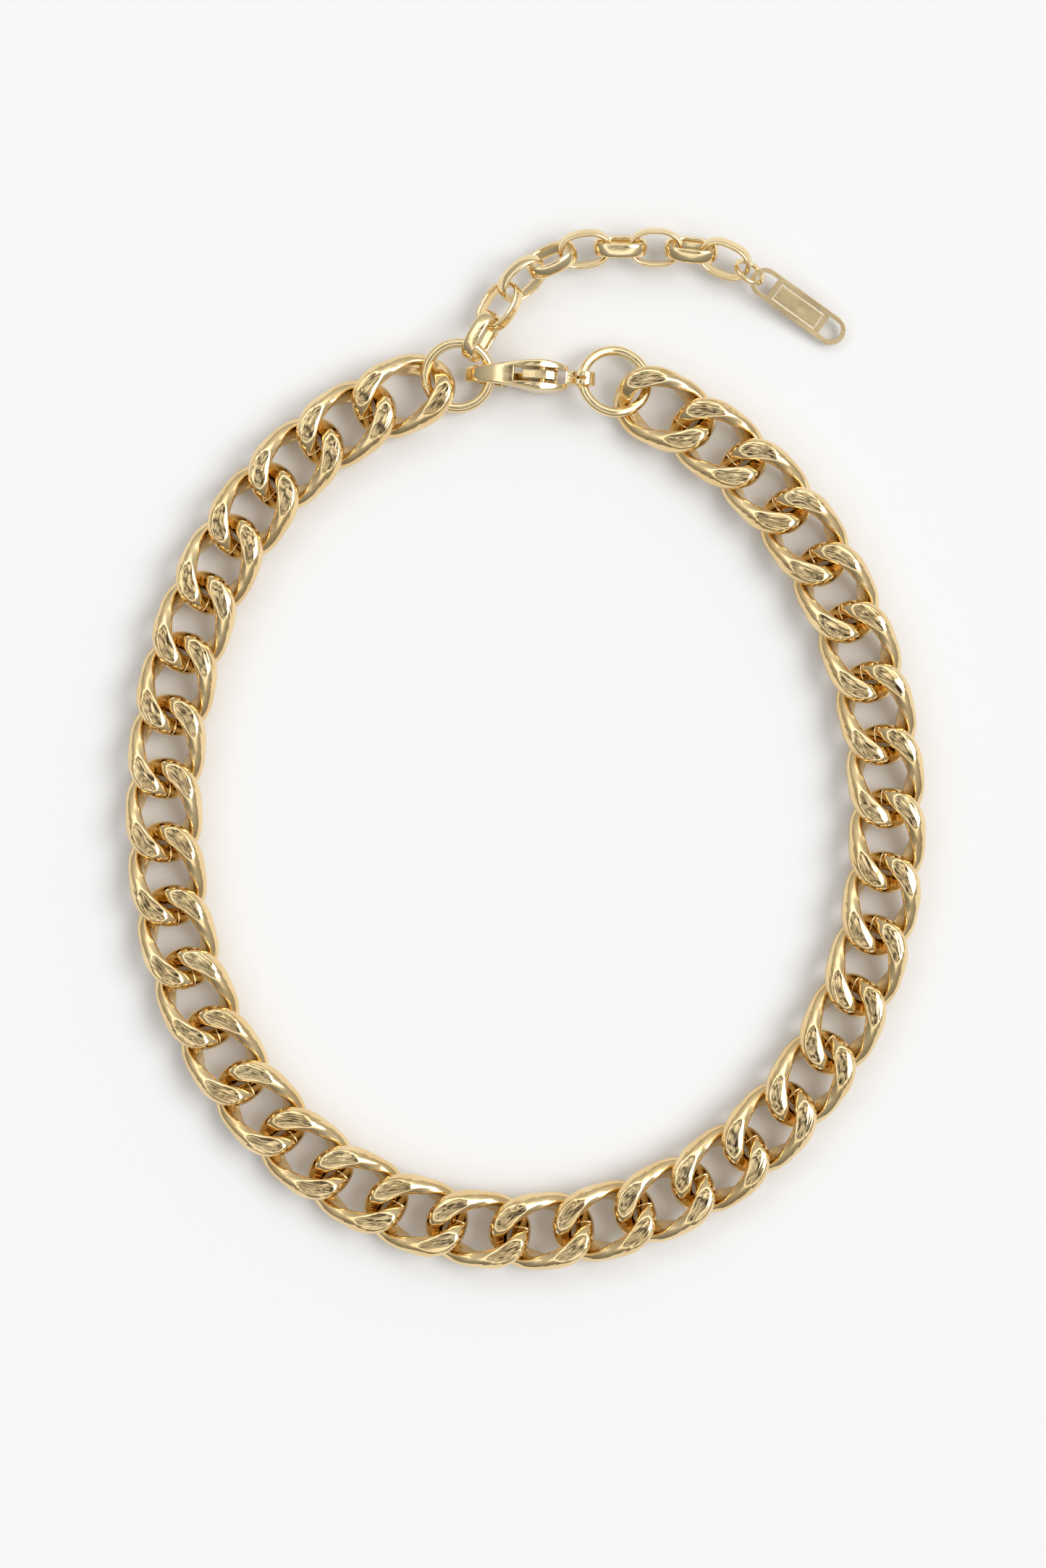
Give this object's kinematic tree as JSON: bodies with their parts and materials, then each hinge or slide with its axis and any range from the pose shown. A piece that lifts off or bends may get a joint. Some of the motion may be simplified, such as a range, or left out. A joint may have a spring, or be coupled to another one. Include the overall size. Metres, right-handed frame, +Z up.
{
  "type": "chain necklace",
  "caption": "Heavy twisted curb chain necklace lying clasped in an oval loop, with a lobster clasp, an extender chain of oval links and a long rounded end tag.",
  "frame": {"origin": "middle of the whole object's foot, on the surface it lies on", "axes": "+Z up from that surface, +Y from the front of the chain towards the clasp, +X to the right seen from above"},
  "size_m": [0.1296, 0.1688, 0.0081],
  "materials": {
    "curb_gold": "mirror-polished yellow gold plate",
    "fine_gold": "polished yellow gold plate",
    "tag_gold": "fine-brushed gold plate with a bright engraved border",
    "spring_steel": "bright drawn wire"
  },
  "bodies": {
    "curb_link_01": {"curb_link_01": "curb_gold"},
    "curb_link_02": {"curb_link_02": "curb_gold"},
    "curb_link_03": {"curb_link_03": "curb_gold"},
    "curb_link_04": {"curb_link_04": "curb_gold"},
    "curb_link_05": {"curb_link_05": "curb_gold"},
    "curb_link_06": {"curb_link_06": "curb_gold"},
    "curb_link_07": {"curb_link_07": "curb_gold"},
    "curb_link_08": {"curb_link_08": "curb_gold"},
    "curb_link_09": {"curb_link_09": "curb_gold"},
    "curb_link_10": {"curb_link_10": "curb_gold"},
    "curb_link_11": {"curb_link_11": "curb_gold"},
    "curb_link_12": {"curb_link_12": "curb_gold"},
    "curb_link_13": {"curb_link_13": "curb_gold"},
    "curb_link_14": {"curb_link_14": "curb_gold"},
    "curb_link_15": {"curb_link_15": "curb_gold"},
    "curb_link_16": {"curb_link_16": "curb_gold"},
    "curb_link_17": {"curb_link_17": "curb_gold"},
    "curb_link_18": {"curb_link_18": "curb_gold"},
    "curb_link_19": {"curb_link_19": "curb_gold"},
    "curb_link_20": {"curb_link_20": "curb_gold"},
    "curb_link_21": {"curb_link_21": "curb_gold"},
    "curb_link_22": {"curb_link_22": "curb_gold"},
    "curb_link_23": {"curb_link_23": "curb_gold"},
    "curb_link_24": {"curb_link_24": "curb_gold"},
    "curb_link_25": {"curb_link_25": "curb_gold"},
    "curb_link_26": {"curb_link_26": "curb_gold"},
    "curb_link_27": {"curb_link_27": "curb_gold"},
    "curb_link_28": {"curb_link_28": "curb_gold"},
    "curb_link_29": {"curb_link_29": "curb_gold"},
    "curb_link_30": {"curb_link_30": "curb_gold"},
    "curb_link_31": {"curb_link_31": "curb_gold"},
    "curb_link_32": {"curb_link_32": "curb_gold"},
    "curb_link_33": {"curb_link_33": "curb_gold"},
    "curb_link_34": {"curb_link_34": "curb_gold"},
    "curb_link_35": {"curb_link_35": "curb_gold"},
    "curb_link_36": {"curb_link_36": "curb_gold"},
    "right_jump_ring": {"right_jump_ring": "fine_gold"},
    "clasp": {"clasp_body": "fine_gold", "clasp_pin": "fine_gold", "clasp_spring": "spring_steel"},
    "clasp_lever": {"clasp_lever": "fine_gold"},
    "left_end_ring": {"left_end_ring": "fine_gold"},
    "extender_link_1": {"extender_link_1": "fine_gold"},
    "extender_link_2": {"extender_link_2": "fine_gold"},
    "extender_link_3": {"extender_link_3": "fine_gold"},
    "extender_link_4": {"extender_link_4": "fine_gold"},
    "extender_link_5": {"extender_link_5": "fine_gold"},
    "extender_link_6": {"extender_link_6": "fine_gold"},
    "extender_link_7": {"extender_link_7": "fine_gold"},
    "extender_link_8": {"extender_link_8": "fine_gold"},
    "extender_link_9": {"extender_link_9": "fine_gold"},
    "tag_ring": {"tag_ring": "fine_gold"},
    "end_tag": {"end_tag": "tag_gold"}
  },
  "joints": [
    {"name": "curb_bend_17_18", "type": "hinge", "parent": "curb_link_18", "child": "curb_link_17", "pos_m": [0.00775, -0.07783, 0.00357], "axis": [0, 0, 1], "range_deg": [-3.63, 3.63]},
    {"name": "curb_bend_16_17", "type": "hinge", "parent": "curb_link_17", "child": "curb_link_16", "pos_m": [0.01779, -0.07532, 0.00357], "axis": [0, 0, 1], "range_deg": [-2.48, 2.48]},
    {"name": "curb_bend_15_16", "type": "hinge", "parent": "curb_link_16", "child": "curb_link_15", "pos_m": [0.0272, -0.07102, 0.00357], "axis": [0, 0, 1], "range_deg": [-3.45, 3.45]},
    {"name": "curb_bend_14_15", "type": "hinge", "parent": "curb_link_15", "child": "curb_link_14", "pos_m": [0.03568, -0.0651, 0.00357], "axis": [0, 0, 1], "range_deg": [-1.26, 1.26]},
    {"name": "curb_bend_13_14", "type": "hinge", "parent": "curb_link_14", "child": "curb_link_13", "pos_m": [0.04301, -0.0578, 0.00357], "axis": [0, 0, 1], "range_deg": [-3.42, 3.42]},
    {"name": "curb_bend_12_13", "type": "hinge", "parent": "curb_link_13", "child": "curb_link_12", "pos_m": [0.049, -0.04936, 0.00357], "axis": [0, 0, 1], "range_deg": [-3.7, 3.7]},
    {"name": "curb_bend_11_12", "type": "hinge", "parent": "curb_link_12", "child": "curb_link_11", "pos_m": [0.05355, -0.04007, 0.00357], "axis": [0, 0, 1], "range_deg": [-2.39, 2.39]},
    {"name": "curb_bend_10_11", "type": "hinge", "parent": "curb_link_11", "child": "curb_link_10", "pos_m": [0.05666, -0.0302, 0.00357], "axis": [0, 0, 1], "range_deg": [-1.52, 1.52]},
    {"name": "curb_bend_09_10", "type": "hinge", "parent": "curb_link_10", "child": "curb_link_09", "pos_m": [0.05835, -0.02, 0.00357], "axis": [0, 0, 1], "range_deg": [-1.33, 1.33]},
    {"name": "curb_bend_08_09", "type": "hinge", "parent": "curb_link_09", "child": "curb_link_08", "pos_m": [0.05873, -0.00966, 0.00357], "axis": [0, 0, 1], "range_deg": [-4.11, 4.11]},
    {"name": "curb_bend_07_08", "type": "hinge", "parent": "curb_link_08", "child": "curb_link_07", "pos_m": [0.05787, 0.00065, 0.00357], "axis": [0, 0, 1], "range_deg": [-4.45, 4.45]},
    {"name": "curb_bend_06_07", "type": "hinge", "parent": "curb_link_07", "child": "curb_link_06", "pos_m": [0.05583, 0.01079, 0.00357], "axis": [0, 0, 1], "range_deg": [-2.31, 2.31]},
    {"name": "curb_bend_05_06", "type": "hinge", "parent": "curb_link_06", "child": "curb_link_05", "pos_m": [0.05261, 0.02063, 0.00357], "axis": [0, 0, 1], "range_deg": [-2.31, 2.31]},
    {"name": "curb_bend_04_05", "type": "hinge", "parent": "curb_link_05", "child": "curb_link_04", "pos_m": [0.04815, 0.02996, 0.00357], "axis": [0, 0, 1], "range_deg": [-0.83, 0.83]},
    {"name": "curb_bend_03_04", "type": "hinge", "parent": "curb_link_04", "child": "curb_link_03", "pos_m": [0.04241, 0.03857, 0.00357], "axis": [0, 0, 1], "range_deg": [-3.93, 3.93]},
    {"name": "curb_bend_02_03", "type": "hinge", "parent": "curb_link_03", "child": "curb_link_02", "pos_m": [0.0354, 0.04618, 0.00357], "axis": [0, 0, 1], "range_deg": [-1.76, 1.76]},
    {"name": "curb_bend_01_02", "type": "hinge", "parent": "curb_link_02", "child": "curb_link_01", "pos_m": [0.0272, 0.05249, 0.00357], "axis": [0, 0, 1], "range_deg": [-3.75, 3.75]},
    {"name": "right_ring_swing", "type": "hinge", "parent": "curb_link_01", "child": "right_jump_ring", "pos_m": [0.01799, 0.05721, 0.00357], "axis": [0, 0, 1], "range_deg": [-2.16, 2.16]},
    {"name": "clasp_swing", "type": "hinge", "parent": "right_jump_ring", "child": "clasp", "pos_m": [0.01447, 0.05949, 0.00357], "axis": [0, 0, 1], "range_deg": [-3.74, 3.74]},
    {"name": "curb_bend_18_19", "type": "hinge", "parent": "curb_link_18", "child": "curb_link_19", "pos_m": [-0.00258, -0.07841, 0.00357], "axis": [0, 0, 1], "range_deg": [-0.94, 0.94]},
    {"name": "curb_bend_19_20", "type": "hinge", "parent": "curb_link_19", "child": "curb_link_20", "pos_m": [-0.01284, -0.07705, 0.00357], "axis": [0, 0, 1], "range_deg": [-1.46, 1.46]},
    {"name": "curb_bend_20_21", "type": "hinge", "parent": "curb_link_20", "child": "curb_link_21", "pos_m": [-0.02265, -0.07377, 0.00357], "axis": [0, 0, 1], "range_deg": [-2.73, 2.73]},
    {"name": "curb_bend_21_22", "type": "hinge", "parent": "curb_link_21", "child": "curb_link_22", "pos_m": [-0.03167, -0.0687, 0.00357], "axis": [0, 0, 1], "range_deg": [-3.21, 3.21]},
    {"name": "curb_bend_22_23", "type": "hinge", "parent": "curb_link_22", "child": "curb_link_23", "pos_m": [-0.0396, -0.06206, 0.00357], "axis": [0, 0, 1], "range_deg": [-3.27, 3.27]},
    {"name": "curb_bend_23_24", "type": "hinge", "parent": "curb_link_23", "child": "curb_link_24", "pos_m": [-0.04623, -0.05411, 0.00357], "axis": [0, 0, 1], "range_deg": [-0.83, 0.83]},
    {"name": "curb_bend_24_25", "type": "hinge", "parent": "curb_link_24", "child": "curb_link_25", "pos_m": [-0.05141, -0.04516, 0.00357], "axis": [0, 0, 1], "range_deg": [-3.55, 3.55]},
    {"name": "curb_bend_25_26", "type": "hinge", "parent": "curb_link_25", "child": "curb_link_26", "pos_m": [-0.05514, -0.03551, 0.00357], "axis": [0, 0, 1], "range_deg": [-0.83, 0.83]},
    {"name": "curb_bend_26_27", "type": "hinge", "parent": "curb_link_26", "child": "curb_link_27", "pos_m": [-0.05748, -0.02543, 0.00357], "axis": [0, 0, 1], "range_deg": [-3.73, 3.73]},
    {"name": "curb_bend_27_28", "type": "hinge", "parent": "curb_link_27", "child": "curb_link_28", "pos_m": [-0.05857, -0.01514, 0.00357], "axis": [0, 0, 1], "range_deg": [-0.83, 0.83]},
    {"name": "curb_bend_28_29", "type": "hinge", "parent": "curb_link_28", "child": "curb_link_29", "pos_m": [-0.05855, -0.0048, 0.00357], "axis": [0, 0, 1], "range_deg": [-4.49, 4.49]},
    {"name": "curb_bend_29_30", "type": "hinge", "parent": "curb_link_29", "child": "curb_link_30", "pos_m": [-0.05747, 0.00549, 0.00357], "axis": [0, 0, 1], "range_deg": [-3.88, 3.88]},
    {"name": "curb_bend_30_31", "type": "hinge", "parent": "curb_link_30", "child": "curb_link_31", "pos_m": [-0.05528, 0.0156, 0.00357], "axis": [0, 0, 1], "range_deg": [-3.14, 3.14]},
    {"name": "curb_bend_31_32", "type": "hinge", "parent": "curb_link_31", "child": "curb_link_32", "pos_m": [-0.05185, 0.02537, 0.00357], "axis": [0, 0, 1], "range_deg": [-1.42, 1.42]},
    {"name": "curb_bend_32_33", "type": "hinge", "parent": "curb_link_32", "child": "curb_link_33", "pos_m": [-0.04706, 0.03454, 0.00357], "axis": [0, 0, 1], "range_deg": [-0.83, 0.83]},
    {"name": "curb_bend_33_34", "type": "hinge", "parent": "curb_link_33", "child": "curb_link_34", "pos_m": [-0.04086, 0.04282, 0.00357], "axis": [0, 0, 1], "range_deg": [-3.98, 3.98]},
    {"name": "curb_bend_34_35", "type": "hinge", "parent": "curb_link_34", "child": "curb_link_35", "pos_m": [-0.03331, 0.04989, 0.00357], "axis": [0, 0, 1], "range_deg": [-4.47, 4.47]},
    {"name": "curb_bend_35_36", "type": "hinge", "parent": "curb_link_35", "child": "curb_link_36", "pos_m": [-0.02457, 0.05542, 0.00357], "axis": [0, 0, 1], "range_deg": [-3.05, 3.05]},
    {"name": "left_ring_swing", "type": "hinge", "parent": "curb_link_36", "child": "left_end_ring", "pos_m": [-0.01491, 0.05914, 0.00357], "axis": [0, 0, 1], "range_deg": [-1.47, 1.47]},
    {"name": "lever_press", "type": "hinge", "parent": "clasp", "child": "clasp_lever", "pos_m": [0.00275, 0.06018, 0.0034], "axis": [0.0502, 0.9987, 0], "range_deg": [0, 20], "stiffness_Nm_per_rad": 0.004, "springref_deg": -14.32, "deforming": ["clasp_spring"]},
    {"name": "extender_swing_1", "type": "hinge", "parent": "left_end_ring", "child": "extender_link_1", "pos_m": [-0.01092, 0.06044, 0.00357], "axis": [0, 0, 1], "range_deg": [-1, 6]},
    {"name": "extender_swing_2", "type": "hinge", "parent": "extender_link_1", "child": "extender_link_2", "pos_m": [-0.00573, 0.06923, 0.00436], "axis": [0, 0, -1], "range_deg": [-6, 6]},
    {"name": "extender_swing_3", "type": "hinge", "parent": "extender_link_2", "child": "extender_link_3", "pos_m": [-0.00268, 0.07411, 0.00426], "axis": [0, 0, 1], "range_deg": [-6, 6]},
    {"name": "extender_swing_4", "type": "hinge", "parent": "extender_link_3", "child": "extender_link_4", "pos_m": [0.00159, 0.07795, 0.00416], "axis": [0, 0, -1], "range_deg": [-6, 6]},
    {"name": "extender_swing_5", "type": "hinge", "parent": "extender_link_4", "child": "extender_link_5", "pos_m": [0.00676, 0.08047, 0.00406], "axis": [0, 0, 1], "range_deg": [-6, 6]},
    {"name": "extender_swing_6", "type": "hinge", "parent": "extender_link_5", "child": "extender_link_6", "pos_m": [0.01245, 0.08127, 0.00396], "axis": [0, 0, -1], "range_deg": [-6, 6]},
    {"name": "extender_swing_7", "type": "hinge", "parent": "extender_link_6", "child": "extender_link_7", "pos_m": [0.0182, 0.08127, 0.00386], "axis": [0, 0, 1], "range_deg": [-6, 6]},
    {"name": "extender_swing_8", "type": "hinge", "parent": "extender_link_7", "child": "extender_link_8", "pos_m": [0.02395, 0.08107, 0.00376], "axis": [0, 0, -1], "range_deg": [-6, 6]},
    {"name": "extender_swing_9", "type": "hinge", "parent": "extender_link_8", "child": "extender_link_9", "pos_m": [0.02967, 0.08047, 0.00366], "axis": [0, 0, 1], "range_deg": [-6, 6]},
    {"name": "tag_ring_swing", "type": "hinge", "parent": "extender_link_9", "child": "tag_ring", "pos_m": [0.03492, 0.07813, 0.00356], "axis": [0, 0, 1], "range_deg": [-12, 12]},
    {"name": "tag_swing", "type": "hinge", "parent": "tag_ring", "child": "end_tag", "pos_m": [0.03755, 0.07635, 0.00319], "axis": [0, 0, -1], "range_deg": [-15, 15]}
  ],
  "couplings": [
    {"joint": "curb_bend_16_17", "follows": "curb_bend_22_23", "ratio": 0.74156},
    {"joint": "curb_bend_15_16", "follows": "curb_bend_12_13", "ratio": 0.91108},
    {"joint": "curb_bend_14_15", "follows": "curb_bend_17_18", "ratio": 0.339},
    {"joint": "curb_bend_13_14", "follows": "curb_bend_22_23", "ratio": 1.0239},
    {"joint": "curb_bend_11_12", "follows": "curb_bend_17_18", "ratio": -0.64232},
    {"joint": "curb_bend_10_11", "follows": "curb_bend_22_23", "ratio": -0.45207},
    {"joint": "curb_bend_09_10", "follows": "curb_bend_12_13", "ratio": 0.34985},
    {"joint": "curb_bend_08_09", "follows": "curb_bend_17_18", "ratio": -1.1082},
    {"joint": "curb_bend_07_08", "follows": "curb_bend_22_23", "ratio": -1.3322},
    {"joint": "curb_bend_06_07", "follows": "curb_bend_12_13", "ratio": -0.60928},
    {"joint": "curb_bend_05_06", "follows": "curb_bend_17_18", "ratio": -0.62229},
    {"joint": "curb_bend_04_05", "follows": "curb_bend_22_23", "ratio": 0.24462},
    {"joint": "curb_bend_03_04", "follows": "curb_bend_12_13", "ratio": -1.0403},
    {"joint": "curb_bend_02_03", "follows": "curb_bend_17_18", "ratio": 0.47379},
    {"joint": "curb_bend_01_02", "follows": "curb_bend_22_23", "ratio": 1.1212},
    {"joint": "right_ring_swing", "follows": "curb_bend_12_13", "ratio": -0.56921},
    {"joint": "clasp_swing", "follows": "curb_bend_17_18", "ratio": 1.0089},
    {"joint": "curb_bend_18_19", "follows": "curb_bend_12_13", "ratio": 0.24603},
    {"joint": "curb_bend_19_20", "follows": "curb_bend_22_23", "ratio": 0.43541},
    {"joint": "curb_bend_20_21", "follows": "curb_bend_17_18", "ratio": -0.73499},
    {"joint": "curb_bend_21_22", "follows": "curb_bend_12_13", "ratio": 0.8472},
    {"joint": "curb_bend_23_24", "follows": "curb_bend_17_18", "ratio": -0.22046},
    {"joint": "curb_bend_24_25", "follows": "curb_bend_12_13", "ratio": 0.93899},
    {"joint": "curb_bend_25_26", "follows": "curb_bend_22_23", "ratio": 0.2446},
    {"joint": "curb_bend_26_27", "follows": "curb_bend_17_18", "ratio": 1.0058},
    {"joint": "curb_bend_27_28", "follows": "curb_bend_12_13", "ratio": 0.21632},
    {"joint": "curb_bend_28_29", "follows": "curb_bend_22_23", "ratio": -1.3431},
    {"joint": "curb_bend_29_30", "follows": "curb_bend_17_18", "ratio": 1.0455},
    {"joint": "curb_bend_30_31", "follows": "curb_bend_12_13", "ratio": -0.82871},
    {"joint": "curb_bend_31_32", "follows": "curb_bend_22_23", "ratio": -0.4234},
    {"joint": "curb_bend_32_33", "follows": "curb_bend_17_18", "ratio": 0.22052},
    {"joint": "curb_bend_33_34", "follows": "curb_bend_12_13", "ratio": -1.0522},
    {"joint": "curb_bend_34_35", "follows": "curb_bend_22_23", "ratio": 1.3383},
    {"joint": "curb_bend_35_36", "follows": "curb_bend_17_18", "ratio": -0.82167},
    {"joint": "left_ring_swing", "follows": "curb_bend_12_13", "ratio": -0.38582}
  ]
}
